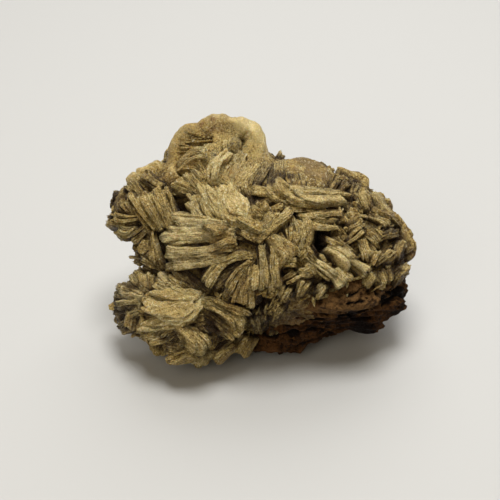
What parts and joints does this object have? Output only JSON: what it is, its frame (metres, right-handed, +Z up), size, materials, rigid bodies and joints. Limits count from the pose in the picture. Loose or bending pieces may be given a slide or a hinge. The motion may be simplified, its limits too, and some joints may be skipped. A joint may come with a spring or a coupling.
{
  "type": "barite cluster",
  "caption": "Free-standing mineral specimen: crested sheaves of blunt barite plates grown together on a lump of iron-stained rock with a flat underside.",
  "frame": {"origin": "on the flat face the specimen rests on, below the middle of the crystal mass", "axes": "+Z up from the rest face; +X along the specimen's length, towards the thick end of the rock; -Y out of the display face"},
  "size_m": [0.1159, 0.0854, 0.0759],
  "materials": {
    "barite": "satin",
    "rusty_rock": "matte"
  },
  "bodies": {
    "root": {"barite_crystals": "barite", "matrix": "rusty_rock"}
  },
  "joints": []
}
